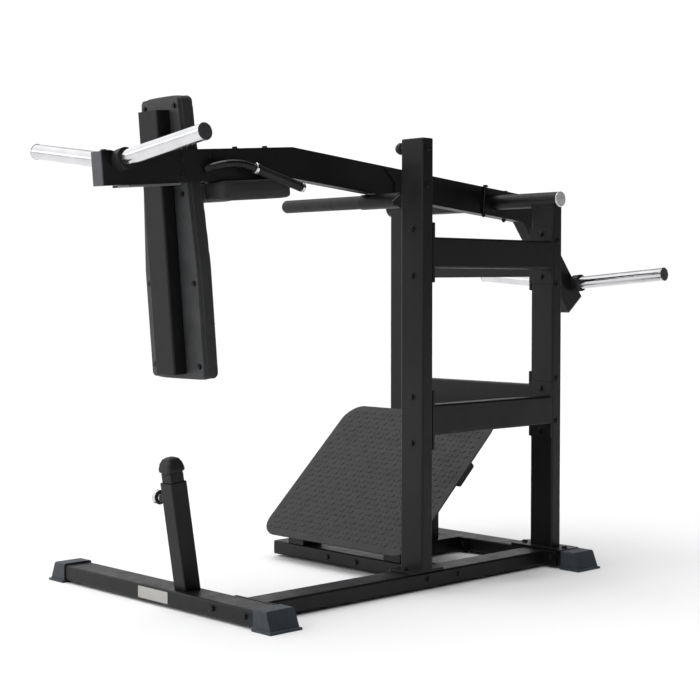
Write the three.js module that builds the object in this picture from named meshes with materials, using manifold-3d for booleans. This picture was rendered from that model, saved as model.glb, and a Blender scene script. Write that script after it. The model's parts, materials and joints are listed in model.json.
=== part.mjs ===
// A pendulum squat machine: a plate-loaded lever arm with back and shoulder pads swings on a
// frame-mounted axle above a sloped foot platform. Millimetres, +Z up. +X runs from the front
// foot to the rear foot, and the user stands on the platform with the pads at -X.
import * as THREE from 'three';
import * as BufferGeometryUtils from 'three/addons/utils/BufferGeometryUtils.js';
import Module from 'manifold-3d';

const wasm = await Module();
wasm.setup();

// ---------------------------------------------------------------- driving dimensions
const ORIGIN = { x: 850.5, y: -37.5 }; // the middle of the footprint, moved to 0, 0 at the end
const GAP = 0.3; // air between pieces that touch on the real machine
const TUBE = { wide: 100, high: 50, wall: 3, corner: 7 };
const FOOT_Z = 8; // underside of the base tubes above the floor
const PLATE = 8; // thickness of welded end plates and base plates
const BASE_TOP = FOOT_Z + TUBE.high;

const NEAR = { y0: -464, y1: -364 }; // the near side of the frame, across the machine
const FAR = { y0: 251, y1: 351 };
const FOOT = { y0: -616, y1: 541, capLength: 84, capFlange: 7, capTop: 64, tubeInset: 36 };
const FRONT_X = { x0: 0, x1: 100 };
const CROSS_X = { x0: 842, x1: 942 };
const REAR_X = { x0: 1404, x1: 1504 };
const CROSS_END_Y = 365;

const FRONT_POST = { x0: 768, x1: 818, top: 1470 };
const REAR_POST = { x0: 1432, x1: 1482, top: 1274 };
const SIDE_BEAM_Z = [556, 1104]; // heights of the two side beams' middles
const CROSS_BEAM_Z = [592, 1078];
const END_PLATE_HIGH = 196;

const RAMP = {
  x: 783, z: 95, angle: 43.3, length: 643, halfWidth: 380, thick: 5, corner: 76,
  ribY: 247, ribWide: 80, ribHigh: 40, ribTop: 600, supportAt: 437, supportHalf: 300,
};

const PIVOT = { x: 1455, z: 1302, axleR: 12.5, bore: 12.9, housingR: 27, farR: 33, capR: 27.5 };
const ARM = {
  y: -145, wide: 50, high: 100, // the beam's middle plane and section
  frontRise: 4.56, midDrop: 5.24, rearDrop: 51, // slopes of its three sections, in degrees
  bendBefore: 993.3, frontLength: 732.3, bendAfter: 188.3, rearLength: 459.6,
  seamBefore: 35, // from the pivot to the joint between the front and the rear beam
};
const SLEEVE = { r: 24, bore: 17, endThick: 5, endR: 25, collarR: 32.5, collarLong: 34 };
const FRONT_SLEEVE = { x: -204, z: 1362, rise: 7.6, tip: 407 };
const REAR_SLEEVE = { along: 396, above: 46, rise: 4.6, tip: 420 };

const PAD = {
  x: 47, z: 1125, // a point on the spine's rear face, level with the origin of the pad frame
  spineHalf: 50, spineDeep: 50, spineLow: -412, spineHigh: 412,
  low: -432, high: 456, taperFrom: -85, halfLow: 140, halfHigh: 100, board: 10, foam: 50, corner: 22,
};
const SHOULDER = { y: 145, wide: 110, start: 414, length: 290, deep: 60, corner: 24 };
const HANDLE = { y: 225, r: 12.5, gripR: 15 };
const BAR = { x: 836, z: 1281, rodR: 12, sleeveR: 26, sleeveY0: -300, sleeveY1: -114, gripR: 23, endY: 293 };
const STOP = { x: 55, lean: 8.9, outer: 60, inner: 50, wall: 3, length: 341, exposed: 30, slot: 150 };
const STOP_BUMPER = { neck: 52, wide: 66, high: 47 };
const PIN = { along: 285, barrelR: 13, barrelLong: 38, stemR: 11, knobR: 23, shaftR: 5, slack: 0.6 };

const DARK = { color: 0x17181a, roughness: 0.5, metalness: 0.3 };
const FINISH = {
  frame: DARK,
  arm: { color: 0x1b1c1e, roughness: 0.5, metalness: 0.3 },
  chrome: { color: 0xd9dadb, roughness: 0.15, metalness: 1 },
  steelEnd: { color: 0x76787b, roughness: 0.45, metalness: 0.7 },
  rubber: { color: 0x3c4248, roughness: 0.75, metalness: 0 },
  blackRubber: { color: 0x121213, roughness: 0.7, metalness: 0 },
  plate: { color: 0x303234, roughness: 0.5, metalness: 0.6 },
  board: { color: 0x232426, roughness: 0.7, metalness: 0 },
  vinyl: { color: 0x161617, roughness: 0.55, metalness: 0 },
};

// ---------------------------------------------------------------- small helpers
const rad = THREE.MathUtils.degToRad;
const machine = new THREE.Group();

function vector(x, y, z) {
  return new THREE.Vector3(x, y, z);
}

// Merges equal vertices, drops the empty triangles of a pole, and turns all faces outward.
function weld(geometry) {
  const bare = geometry.clone();
  for (const name of Object.keys(bare.attributes)) {
    if (name !== 'position') bare.deleteAttribute(name);
  }
  bare.clearGroups();
  const merged = BufferGeometryUtils.mergeVertices(bare, 1e-4);
  const index = Array.from(merged.index.array);
  const place = merged.attributes.position;
  const corner = [vector(), vector(), vector()];
  const kept = [];
  let volume = 0;
  for (let i = 0; i < index.length; i += 3) {
    const [a, b, c] = index.slice(i, i + 3);
    if (a === b || b === c || c === a) continue;
    [a, b, c].forEach((id, k) => corner[k].fromBufferAttribute(place, id));
    volume += corner[0].dot(corner[1].clone().cross(corner[2]));
    kept.push(a, b, c);
  }
  if (volume < 0) kept.reverse();
  merged.setIndex(kept);
  return merged;
}

function toManifold(geometry) {
  const closed = weld(geometry);
  return new wasm.Manifold(new wasm.Mesh({
    numProp: 3,
    vertProperties: new Float32Array(closed.attributes.position.array),
    triVerts: new Uint32Array(closed.index.array),
  }));
}

function fromManifold(solid) {
  const mesh = solid.getMesh();
  const geometry = new THREE.BufferGeometry();
  geometry.setAttribute('position', new THREE.BufferAttribute(Float32Array.from(mesh.vertProperties), 3));
  geometry.setIndex(Array.from(mesh.triVerts));
  return geometry;
}

function subtract(base, ...tools) {
  let solid = toManifold(base);
  for (const tool of tools) solid = solid.subtract(toManifold(tool));
  return fromManifold(solid);
}

function join(base, ...others) {
  let solid = toManifold(base);
  for (const other of others) solid = solid.add(toManifold(other));
  return fromManifold(solid);
}

function add(name, geometry, finish, parent = machine) {
  const material = new THREE.MeshStandardMaterial({ ...FINISH[finish], flatShading: true });
  const mesh = new THREE.Mesh(weld(geometry), material);
  mesh.name = name;
  parent.add(mesh);
  return mesh;
}

// ---------------------------------------------------------------- outlines and extrusions
function roundedRect(path, u0, u1, v0, v1, r) {
  path.moveTo(u0 + r, v0);
  path.lineTo(u1 - r, v0);
  path.absarc(u1 - r, v0 + r, r, -Math.PI / 2, 0, false);
  path.lineTo(u1, v1 - r);
  path.absarc(u1 - r, v1 - r, r, 0, Math.PI / 2, false);
  path.lineTo(u0 + r, v1);
  path.absarc(u0 + r, v1 - r, r, Math.PI / 2, Math.PI, false);
  path.lineTo(u0, v0 + r);
  path.absarc(u0 + r, v0 + r, r, Math.PI, Math.PI * 1.5, false);
  return path;
}

// Turns a shape extruded along its own +Z so that it runs along the named axis.
function alongAxis(geometry, axis, start, end) {
  if (axis === 'z') return geometry.translate(0, 0, start);
  const turn = new THREE.Matrix4();
  if (axis === 'x') turn.makeBasis(vector(0, 1, 0), vector(0, 0, 1), vector(1, 0, 0));
  if (axis === 'y') turn.makeBasis(vector(1, 0, 0), vector(0, 0, 1), vector(0, -1, 0));
  geometry.applyMatrix4(turn);
  return axis === 'x' ? geometry.translate(start, 0, 0) : geometry.translate(0, end, 0);
}

// A box given by its ranges in x, y and z, with round edges along one axis. With a wall it is
// a tube open at both ends.
function profileBox(x, y, z, axis, corner = TUBE.corner, wall = 0, steps = 4) {
  const ranges = { x: [y, z, x], y: [x, z, y], z: [x, y, z] }[axis];
  const [[u0, u1], [v0, v1], [start, end]] = ranges;
  const shape = roundedRect(new THREE.Shape(), u0, u1, v0, v1, corner);
  if (wall > 0) {
    const bore = new THREE.Path();
    roundedRect(bore, u0 + wall, u1 - wall, v0 + wall, v1 - wall, Math.max(corner - wall, 1));
    shape.holes.push(bore);
  }
  const options = { depth: end - start, bevelEnabled: false, curveSegments: steps };
  return alongAxis(new THREE.ExtrudeGeometry(shape, options), axis, start, end);
}

function tube(x, y, z, axis) {
  return profileBox(x, y, z, axis, TUBE.corner, TUBE.wall);
}

function plate(x, y, z, axis, corner = 4) {
  return profileBox(x, y, z, axis, corner, 0, 3);
}

function plainBox(x, y, z) {
  const box = new THREE.BoxGeometry(x[1] - x[0], y[1] - y[0], z[1] - z[0]);
  return box.translate((x[0] + x[1]) / 2, (y[0] + y[1]) / 2, (z[0] + z[1]) / 2);
}

// An outline of [x, z] points extruded across the machine from y0 to y1.
function sideProfile(points, y0, y1) {
  const shape = new THREE.Shape(points.map(([x, z]) => new THREE.Vector2(x, z)));
  const options = { depth: y1 - y0, bevelEnabled: false };
  return alongAxis(new THREE.ExtrudeGeometry(shape, options), 'y', y0, y1);
}

// The outline of a bent bar: a centre line of [x, z] points, thickened with mitred bends.
function ribbon(points, half) {
  const upper = [];
  const lower = [];
  points.forEach(([x, z], i) => {
    const before = points[Math.max(i - 1, 0)];
    const after = points[Math.min(i + 1, points.length - 1)];
    const into = new THREE.Vector2(x - before[0], z - before[1]).normalize();
    const out = new THREE.Vector2(after[0] - x, after[1] - z).normalize();
    if (i === 0) into.copy(out);
    if (i === points.length - 1) out.copy(into);
    const along = into.clone().add(out).normalize();
    const reach = half / along.dot(out);
    upper.push([x - along.y * reach, z + along.x * reach]);
    lower.push([x + along.y * reach, z - along.x * reach]);
  });
  return upper.concat(lower.reverse());
}

// A turned piece about an axis along Y through (x, z). The profile is [radius, y] points.
function turned(profile, x, z, segments = 32) {
  const points = profile.map(([r, y]) => new THREE.Vector2(r, y));
  return new THREE.LatheGeometry(points, segments).translate(x, 0, z);
}

function rod(x, z, r, y0, y1, segments = 32) {
  return turned([[0, y0], [r, y0], [r, y1], [0, y1]], x, z, segments);
}

function ring(x, z, inner, outer, y0, y1, segments = 32) {
  return turned([[inner, y0], [outer, y0], [outer, y1], [inner, y1], [inner, y0]], x, z, segments);
}

// ---------------------------------------------------------------- base
function footTube(name, x) {
  const y = [FOOT.y0 + FOOT.tubeInset, FOOT.y1 - FOOT.tubeInset];
  add(name, tube([x.x0, x.x1], y, [FOOT_Z, BASE_TOP], 'y'), 'frame');
}

// A rubber end cap: a shell with sloped sides and a flange on the floor, over the tube's end.
function footCap(name, x, end, inward) {
  const bulge = 8;
  const lip = 6;
  const low = FOOT.capFlange;
  const outline = new THREE.Shape();
  outline.moveTo(x.x0 - bulge - lip / 2, 0);
  outline.lineTo(x.x1 + bulge + lip / 2, 0);
  outline.lineTo(x.x1 + bulge + lip / 2, low);
  outline.lineTo(x.x1 + bulge - lip / 2, low + 1);
  outline.lineTo(x.x1 + 4, FOOT.capTop - 6);
  outline.quadraticCurveTo(x.x1 + 3.5, FOOT.capTop, x.x1 - 3, FOOT.capTop);
  outline.lineTo(x.x0 + 3, FOOT.capTop);
  outline.quadraticCurveTo(x.x0 - 3.5, FOOT.capTop, x.x0 - 4, FOOT.capTop - 6);
  outline.lineTo(x.x0 - bulge + lip / 2, low + 1);
  outline.lineTo(x.x0 - bulge - lip / 2, low);
  const options = { depth: FOOT.capLength, bevelEnabled: false, curveSegments: 3 };
  const y = inward > 0 ? [end, end + FOOT.capLength] : [end - FOOT.capLength, end];
  const body = alongAxis(new THREE.ExtrudeGeometry(outline, options), 'y', y[0], y[1]);
  const slope = 22;
  const wedge = new THREE.Shape();
  wedge.moveTo(-1, -1);
  wedge.lineTo(0, -1);
  wedge.lineTo(0, low);
  wedge.lineTo(lip, low + 1);
  wedge.lineTo(lip + slope, FOOT.capTop + 1);
  wedge.lineTo(-1, FOOT.capTop + 1);
  const cut = new THREE.ExtrudeGeometry(wedge, { depth: 200, bevelEnabled: false });
  const turn = new THREE.Matrix4();
  turn.makeBasis(vector(0, inward, 0), vector(0, 0, 1), vector(inward, 0, 0));
  cut.applyMatrix4(turn);
  cut.translate(inward > 0 ? x.x0 - 50 : x.x1 + 50, end, 0);
  const seat = FOOT.tubeInset - GAP;
  const pocketY = inward > 0 ? [end + seat, end + 200] : [end - 200, end - seat];
  const pocketX = [x.x0 - GAP, x.x1 + GAP];
  const pocket = profileBox(pocketX, pocketY, [FOOT_Z - GAP, BASE_TOP + GAP], 'y', TUBE.corner - 2);
  add(name, subtract(body, cut, pocket), 'rubber');
}

// A tube along X between two cross members, with a bolted plate welded on each end.
function railWithPlates(name, y, z, x0, x1, plateY) {
  const body = tube([x0 + PLATE - 1, x1 - PLATE + 1], y, z, 'x');
  const first = plate([x0, x0 + PLATE], plateY, z, 'x');
  const last = plate([x1 - PLATE, x1], plateY, z, 'x');
  const vent = plainBox([x0 - 1, x0 + PLATE + 1], [y[0] + 35, y[1] - 35], [z[0] + 18, z[1] - 18]);
  add(name, subtract(join(body, first, last), vent), 'frame');
}

function buildBase() {
  footTube('front_foot_tube', FRONT_X);
  footTube('rear_foot_tube', REAR_X);
  const sides = [['front', FRONT_X], ['rear', REAR_X]];
  for (const [place, x] of sides) {
    footCap(`${place}_foot_cap_near`, x, FOOT.y0, 1);
    footCap(`${place}_foot_cap_far`, x, FOOT.y1, -1);
  }
  const z = [FOOT_Z, BASE_TOP];
  railWithPlates('near_side_rail', [NEAR.y0, NEAR.y1], z, FRONT_X.x1 + GAP, REAR_X.x0 - GAP,
    [NEAR.y0 - 48, NEAR.y1 + 48]);
  const crossY = [NEAR.y1 + GAP, CROSS_END_Y];
  const cross = tube([CROSS_X.x0, CROSS_X.x1], [crossY[0], crossY[1] - 4], z, 'y');
  const lid = plate([CROSS_X.x0, CROSS_X.x1], [crossY[1] - 5, crossY[1]], z, 'y', TUBE.corner);
  add('platform_cross_tube', join(cross, lid), 'frame');
  railWithPlates('middle_rail', [-50, 50], z, CROSS_X.x1 + GAP, REAR_X.x0 - GAP, [-95, 95]);
}

// ---------------------------------------------------------------- uprights and beams
function upright(name, x, y, top, baseX, baseY) {
  const foot = BASE_TOP + GAP;
  const body = tube(x, y, [foot + 1, top], 'z');
  const base = plate(baseX, baseY, [foot, foot + PLATE], 'z', 8);
  const inside = [[x[0] + 12, x[1] - 12], [y[0] + 12, y[1] - 12]];
  const drain = plainBox(inside[0], inside[1], [foot - 1, foot + PLATE + 1]);
  add(name, subtract(join(body, base), drain), 'frame');
}

function sideBeam(name, middle) {
  const half = TUBE.wide / 2;
  const x = [FRONT_POST.x1 + GAP, REAR_POST.x0 - GAP];
  const y = [NEAR.y0, NEAR.y0 + TUBE.high];
  const body = tube([x[0] + 1, x[1] - 1], y, [middle - half, middle + half], 'x');
  const tall = [middle - END_PLATE_HIGH / 2, middle + END_PLATE_HIGH / 2];
  const first = plate([x[0], x[0] + PLATE], [NEAR.y0, NEAR.y1], tall, 'x');
  const last = plate([x[1] - PLATE, x[1]], [NEAR.y0, NEAR.y1], tall, 'x');
  const vent = plainBox([x[0] - 1, x[1] + 1], [y[0] + 12, y[1] - 12], [middle - 30, middle + 30]);
  add(name, subtract(join(body, first, last), vent), 'frame');
}

function crossBeam(name, middle) {
  const half = TUBE.wide / 2;
  const x = [REAR_POST.x0, REAR_POST.x1];
  const y = [NEAR.y1 + GAP, FAR.y0 - GAP];
  const body = tube(x, [y[0] + 1, y[1] - 1], [middle - half, middle + half], 'y');
  const tall = [middle - END_PLATE_HIGH / 2, middle + END_PLATE_HIGH / 2];
  const first = plate(x, [y[0], y[0] + PLATE], tall, 'y');
  const last = plate(x, [y[1] - PLATE, y[1]], tall, 'y');
  const vent = plainBox([x[0] + 12, x[1] - 12], [y[0] - 1, y[1] + 1], [middle - 30, middle + 30]);
  add(name, subtract(join(body, first, last), vent), 'frame');
}

function buildUprights() {
  upright('front_upright', [FRONT_POST.x0, FRONT_POST.x1], [NEAR.y0, NEAR.y1], FRONT_POST.top,
    [712, 874], [NEAR.y0, NEAR.y1]);
  const rearX = [REAR_POST.x0, REAR_POST.x1];
  const baseX = [REAR_X.x0, REAR_X.x1];
  const spread = 68;
  upright('rear_upright_near', rearX, [NEAR.y0, NEAR.y1], REAR_POST.top, baseX,
    [NEAR.y0 - spread, NEAR.y1 + spread]);
  upright('rear_upright_far', rearX, [FAR.y0, FAR.y1], REAR_POST.top, baseX,
    [FAR.y0 - spread, FAR.y1 + spread]);
  sideBeam('side_beam_lower', SIDE_BEAM_Z[0]);
  sideBeam('side_beam_upper', SIDE_BEAM_Z[1]);
  crossBeam('cross_beam_lower', CROSS_BEAM_Z[0]);
  crossBeam('cross_beam_upper', CROSS_BEAM_Z[1]);
  buildUpStop();
}

// A rubber stop on the inner face of the front upright, near its top.
function buildUpStop() {
  const x = (FRONT_POST.x0 + FRONT_POST.x1) / 2;
  const y = NEAR.y1 + GAP;
  const profile = [[0, y], [13, y], [13, y + 12], [19, y + 16], [20, y + 26], [15, y + 36], [0, y + 38]];
  add('upper_rubber_stop', turned(profile, x, 1446, 24), 'blackRubber');
}

// ---------------------------------------------------------------- foot platform
// The ramp frame has +X up the slope, Y across and +Z out of the standing face.
const ramp = new THREE.Group();
ramp.position.set(RAMP.x, 0, RAMP.z);
ramp.rotation.y = -rad(RAMP.angle);
ramp.updateMatrixWorld();

function inRamp(geometry) {
  return geometry.clone().applyMatrix4(ramp.matrixWorld);
}

// A point of the ramp frame (along the slope, above the face) in the machine's x and z.
function rampPoint(along, above) {
  const point = vector(along, 0, above).applyMatrix4(ramp.matrixWorld);
  return [point.x, point.z];
}

function buildPlatform() {
  const shape = roundedRect(new THREE.Shape(), 0, RAMP.length, -RAMP.halfWidth, RAMP.halfWidth, RAMP.corner);
  const options = { depth: RAMP.thick, bevelEnabled: false, curveSegments: 8 };
  const sheet = new THREE.ExtrudeGeometry(shape, options).translate(0, 0, -RAMP.thick);
  const clearance = 4;
  const notch = plainBox([FRONT_POST.x0 - clearance, FRONT_POST.x1 + clearance],
    [NEAR.y0, NEAR.y1 + clearance], [0, 300]);
  add('foot_platform_plate', subtract(inRamp(sheet), notch), 'plate');

  const top = -RAMP.thick - GAP;
  const under = top - RAMP.ribHigh;
  const footX = [CROSS_X.x0 + 3, CROSS_X.x1 - 4];
  const slope = Math.tan(rad(RAMP.angle));
  const [lineX, lineZ] = rampPoint(0, top);
  const [underX, underZ] = rampPoint(0, under);
  const rib = [
    [footX[0], BASE_TOP + GAP],
    [footX[1], BASE_TOP + GAP],
    [footX[1], underZ + (footX[1] - underX) * slope],
    rampPoint(RAMP.ribTop, under),
    rampPoint(RAMP.ribTop, top),
    [footX[0], lineZ + (footX[0] - lineX) * slope],
  ];
  const half = RAMP.ribWide / 2;
  for (const [side, y] of [['near', -RAMP.ribY], ['far', RAMP.ribY]]) {
    add(`platform_rib_${side}`, sideProfile(rib, y - half, y + half), 'frame');
  }

  const across = [-RAMP.supportHalf, RAMP.supportHalf];
  const supportTop = under - GAP;
  const supportX = [RAMP.supportAt - TUBE.wide / 2, RAMP.supportAt + TUBE.wide / 2];
  const supportZ = [supportTop - TUBE.high, supportTop];
  const lids = across.map((y) => {
    const lidY = y < 0 ? [y, y + 5] : [y - 5, y];
    return plate(supportX, lidY, supportZ, 'y', TUBE.corner);
  });
  const vent = plainBox([RAMP.supportAt - 4, RAMP.supportAt + 4], [across[0] - 1, across[0] + 6],
    [supportTop - 29, supportTop - 21]);
  const support = subtract(join(tube(supportX, across, supportZ, 'y'), ...lids), vent);
  add('platform_cross_support', inRamp(support), 'frame');

  const meet = rampPoint(RAMP.supportAt, supportTop - TUBE.high - GAP);
  const lean = rad(RAMP.angle);
  const postX = 1287;
  const down = (postX - meet[0]) / Math.sin(lean);
  const bend = [postX, meet[1] - down * Math.cos(lean)];
  const brace = ribbon([[postX, BASE_TOP + GAP], bend, meet], 25);
  const bore = ribbon([[postX, BASE_TOP], bend, rampPoint(RAMP.supportAt, supportTop - TUBE.high)], 22);
  add('platform_brace', subtract(sideProfile(brace, -25, 25), sideProfile(bore, -22, 22)), 'frame');
}

// ---------------------------------------------------------------- pivot
const HUB = { near: -361, far: 240 };

function buildPivot() {
  const { x, z } = PIVOT;
  const ends = { near: [-475, HUB.near - 1], far: [HUB.far + 1, FAR.y1 + 12] };
  for (const side of ['near', 'far']) {
    const r = side === 'near' ? PIVOT.housingR : PIVOT.farR;
    const [y0, y1] = ends[side];
    const seat = side === 'near' ? NEAR : FAR;
    const bush = ring(x, z, PIVOT.bore, r, y0, y1);
    const postTop = REAR_POST.top + GAP;
    const under = plainBox([x - 100, x + 100], [seat.y0 - 1, seat.y1 + 1], [postTop - 40, postTop]);
    const saddleY = [Math.max(y0, seat.y0), Math.min(y1, seat.y1)];
    const saddle = plainBox([x - 23, x + 23], saddleY, [postTop, z - 16]);
    const hole = rod(x, z, PIVOT.bore, y0 - 1, y1 + 1);
    add(`bearing_housing_${side}`, subtract(join(bush, saddle), hole, under), 'frame');
  }
  const axle = [ends.near[0] + 2, ends.far[1] - 2];
  add('pivot_axle', rod(x, z, PIVOT.axleR, axle[0], axle[1]), 'chrome');
  const out = { near: -1, far: 1 };
  for (const side of ['near', 'far']) {
    const s = out[side];
    const y = (side === 'near' ? ends.near[0] : ends.far[1]) + s * GAP;
    const r = side === 'near' ? PIVOT.capR : PIVOT.farR + 1.5;
    const profile = [[0, y], [r, y], [r, y + s * 3], [r - 3, y + s * 5.5], [0, y + s * 6]];
    add(`pivot_cap_${side}`, turned(profile, x, z), 'chrome');
  }
}

// ---------------------------------------------------------------- swing arm
function slopePoint([x, z], length, angle) {
  return [x + length * Math.cos(rad(angle)), z + length * Math.sin(rad(angle))];
}

const pivotPoint = [PIVOT.x, PIVOT.z];
const frontBend = slopePoint(pivotPoint, -ARM.bendBefore, -ARM.midDrop);
const frontEnd = slopePoint(frontBend, -ARM.frontLength, ARM.frontRise);
const rearBend = slopePoint(pivotPoint, ARM.bendAfter, -ARM.midDrop);
const rearEnd = slopePoint(rearBend, ARM.rearLength, -ARM.rearDrop);
const seam = slopePoint(pivotPoint, -ARM.seamBefore, -ARM.midDrop);
const ARM_Y = [ARM.y - ARM.wide / 2, ARM.y + ARM.wide / 2];

// A point beside the front section: along it from its front end, and above its centre line.
function frontPoint(along, above) {
  const up = slopePoint([0, 0], above, 90 + ARM.frontRise);
  const on = slopePoint(frontEnd, along, ARM.frontRise);
  return [on[0] + up[0], on[1] + up[1]];
}

// A bent hollow tube. Its ends are open, or closed by lids where a lid thickness is given.
function hollowBeam(points, y, lid = 0) {
  const half = ARM.high / 2;
  const last = points.length - 1;
  const stretch = (a, b) => {
    const out = new THREE.Vector2(a[0] - b[0], a[1] - b[1]).normalize();
    const reach = lid > 0 ? -lid : 20;
    return [a[0] + out.x * reach, a[1] + out.y * reach];
  };
  const longer = points.slice();
  longer[0] = stretch(points[0], points[1]);
  longer[last] = stretch(points[last], points[last - 1]);
  const outer = sideProfile(ribbon(points, half), y[0], y[1]);
  const wall = TUBE.wall;
  const inner = sideProfile(ribbon(longer, half - wall), y[0] + wall, y[1] - wall);
  return subtract(outer, inner);
}

function beamPlug(name, end, angle, out) {
  const inside = slopePoint(end, out * GAP, angle);
  const outside = slopePoint(end, out * (GAP + 4), angle);
  add(name, sideProfile(ribbon([inside, outside], ARM.high / 2), ARM_Y[0], ARM_Y[1]), 'blackRubber');
}

function buildArm() {
  const seamEnd = slopePoint(seam, -GAP, -ARM.midDrop);
  add('arm_front_beam', hollowBeam([frontEnd, frontBend, seamEnd], ARM_Y), 'arm');
  const hole = rod(PIVOT.x, PIVOT.z, PIVOT.farR + GAP, ARM_Y[0] - 1, ARM_Y[1] + 1);
  add('arm_rear_beam', subtract(hollowBeam([seam, rearBend, rearEnd], ARM_Y), hole), 'arm');
  beamPlug('arm_front_plug', frontEnd, ARM.frontRise, -1);
  beamPlug('arm_rear_plug', rearEnd, -ARM.rearDrop, 1);

  const hub = [
    [PIVOT.bore, HUB.near], [PIVOT.housingR, HUB.near], [PIVOT.housingR, ARM_Y[0] - 2],
    [PIVOT.farR, ARM_Y[0] - 2], [PIVOT.farR, HUB.far], [PIVOT.bore, HUB.far], [PIVOT.bore, HUB.near],
  ];
  add('arm_pivot_tube', turned(hub, PIVOT.x, PIVOT.z), 'arm');

  const strike = ribbon([frontPoint(84, -53.4 - GAP), frontPoint(275, -53.4 - GAP)], 3);
  add('strike_plate', sideProfile(strike, ARM_Y[0] - 4, ARM_Y[1] + 4), 'steelEnd');
}

// A pair of plate-loading sleeves on the two sides of the arm, sloping up to their tips.
function sleevePair(label, x, z, { rise, tip }) {
  for (const [side, s] of [['near', -1], ['far', 1]]) {
    const group = new THREE.Group();
    group.position.set(x, ARM.y + s * (ARM.wide / 2), z);
    group.rotation.x = s * rad(rise);
    machine.add(group);
    // the collar is cut square to the arm's side, because its sleeve leaves at an angle
    const root = -6;
    const span = (a, b) => (s > 0 ? [a, b] : [-b, -a]);
    const [c0, c1] = span(root, SLEEVE.collarLong);
    const collar = ring(0, 0, SLEEVE.r + GAP, SLEEVE.collarR, c0, c1);
    const start = s * 3.5;
    const inside = s * (tip - SLEEVE.endThick);
    const sleeve = turned([
      [SLEEVE.bore, start], [SLEEVE.r, start], [SLEEVE.r, inside], [SLEEVE.endR, inside],
      [SLEEVE.endR, s * tip], [0, s * tip], [0, inside], [SLEEVE.bore, inside],
      [SLEEVE.bore, start],
    ], 0, 0);
    const face = plainBox([-60, 60], s > 0 ? [-60, 0] : [0, 60], [-60, 60]);
    face.rotateX(-s * rad(rise));
    face.translate(0, s * GAP, 0);
    add(`${label}_collar_${side}`, subtract(collar, face), 'blackRubber', group);
    add(`${label}_sleeve_${side}`, subtract(sleeve, face), 'chrome', group);
  }
}

function buildSleeves() {
  sleevePair('front', FRONT_SLEEVE.x, FRONT_SLEEVE.z, FRONT_SLEEVE);
  const base = slopePoint(rearBend, REAR_SLEEVE.along, -ARM.rearDrop);
  const [x, z] = slopePoint(base, REAR_SLEEVE.above, 90 - ARM.rearDrop);
  sleevePair('rear', x, z, REAR_SLEEVE);
}

// ---------------------------------------------------------------- pads and handles on the arm
// The pad frame has +Z up along the back pad and +X towards the user.
const padFrame = new THREE.Group();
padFrame.position.set(PAD.x, 0, PAD.z);
padFrame.rotation.y = -rad(ARM.frontRise);

function padOutline(inset) {
  const low = PAD.low + inset;
  const high = PAD.high - inset;
  const corner = PAD.corner - inset;
  const wide = PAD.halfLow - inset;
  const narrow = PAD.halfHigh - inset;
  const shape = new THREE.Shape();
  shape.moveTo(-wide + corner, low);
  shape.lineTo(wide - corner, low);
  shape.absarc(wide - corner, low + corner, corner, -Math.PI / 2, 0, false);
  shape.lineTo(wide, PAD.taperFrom);
  shape.lineTo(narrow, high - corner);
  shape.absarc(narrow - corner, high - corner, corner, 0, Math.PI / 2, false);
  shape.lineTo(-narrow + corner, high);
  shape.absarc(-narrow + corner, high - corner, corner, Math.PI / 2, Math.PI, false);
  shape.lineTo(-wide, PAD.taperFrom);
  shape.absarc(-wide + corner, low + corner, corner, Math.PI, Math.PI * 1.5, false);
  return shape;
}

function padLayer(inset, x0, x1) {
  const options = { depth: x1 - x0, bevelEnabled: false, curveSegments: 5 };
  const layer = new THREE.ExtrudeGeometry(padOutline(inset), options);
  return alongAxis(layer, 'x', x0, x1);
}

function buildBackPad() {
  machine.add(padFrame);
  const y = [-PAD.spineHalf, PAD.spineHalf];
  const z = [PAD.spineLow, PAD.spineHigh];
  add('pad_spine', tube([0, PAD.spineDeep], y, z, 'z'), 'frame', padFrame);
  const boardAt = PAD.spineDeep + GAP;
  const foamAt = boardAt + PAD.board;
  add('back_pad_board', padLayer(6, boardAt, foamAt - GAP), 'board', padFrame);
  add('back_pad', padLayer(0, foamAt, foamAt + PAD.foam), 'vinyl', padFrame);
}

// Blocks that carry the spine from the arm, and the mirrored beam over the far shoulder pad.
function buildShoulderFrame() {
  const armFar = ARM_Y[1] + GAP;
  const spineNear = -PAD.spineHalf - GAP;
  const block = ribbon([frontPoint(271, 0), frontPoint(341, 0)], 38);
  add('spine_bracket_near', sideProfile(block, armFar, spineNear), 'frame');
  const start = frontPoint(SHOULDER.start - 150, 0);
  const end = frontPoint(SHOULDER.start + SHOULDER.length, 0);
  const farMiddle = -ARM.y;
  const shell = hollowBeam([start, end], [-ARM_Y[1], -ARM_Y[0]], 5);
  const vent = plainBox([start[0] - 10, start[0] + 20], [farMiddle - 4, farMiddle + 4], [start[1] - 4, start[1] + 4]);
  const farBeam = subtract(shell, vent);
  add('far_shoulder_beam', join(farBeam, sideProfile(block, -spineNear, -ARM_Y[1] + 1)), 'frame');

  const half = SHOULDER.wide / 2;
  const top = -ARM.high / 2 - GAP;
  for (const [side, s] of [['near', -1], ['far', 1]]) {
    const y0 = s * SHOULDER.y - half;
    const frame = new THREE.Group();
    const origin = frontPoint(SHOULDER.start, top);
    frame.position.set(origin[0], y0, origin[1]);
    frame.rotation.y = -rad(ARM.frontRise);
    machine.add(frame);
    const x = [0, SHOULDER.length];
    const y = [0, SHOULDER.wide];
    add(`shoulder_pad_${side}`, profileBox(x, y, [-SHOULDER.deep, 0], 'z', SHOULDER.corner, 0, 6), 'vinyl', frame);
  }
}

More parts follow.
